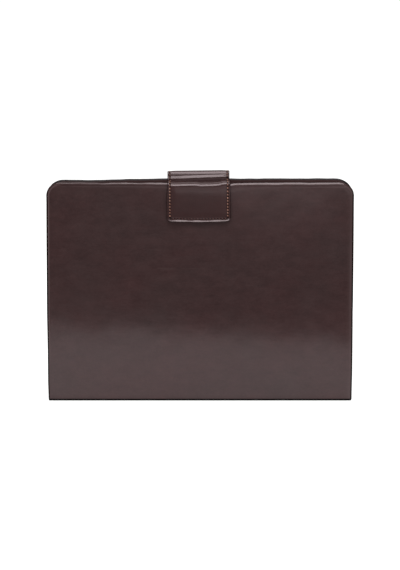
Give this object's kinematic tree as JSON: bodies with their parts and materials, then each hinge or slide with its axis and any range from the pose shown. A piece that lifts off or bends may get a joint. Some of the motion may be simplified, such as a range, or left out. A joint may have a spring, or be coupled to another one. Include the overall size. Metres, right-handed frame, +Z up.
{
  "type": "laptop document bag",
  "caption": "Slim padded leather bag that stands on its base, open along the top, with folded-in sides and a stitched tab that closes over the mouth onto the front.",
  "frame": {"origin": "on the floor under the middle of the base", "axes": "+X along the bag's width, to the right as seen from the front; the front faces -Y; +Z up"},
  "size_m": [0.34, 0.0401, 0.2572],
  "materials": {
    "cover_leather": "glossy coated dark brown hide with fine creases",
    "gusset_leather": "softer satin dark brown hide",
    "tab_leather": "glossy coated dark brown hide, stitched along its edges",
    "stitch_thread": "waxed rust brown thread",
    "clasp_metal": "plain nickel-plated disc"
  },
  "bodies": {
    "root": {"cover": "cover_leather", "gusset_left": "gusset_leather", "gusset_right": "gusset_leather", "closure_tab": "tab_leather", "clasp_disc": "clasp_metal"}
  },
  "joints": []
}
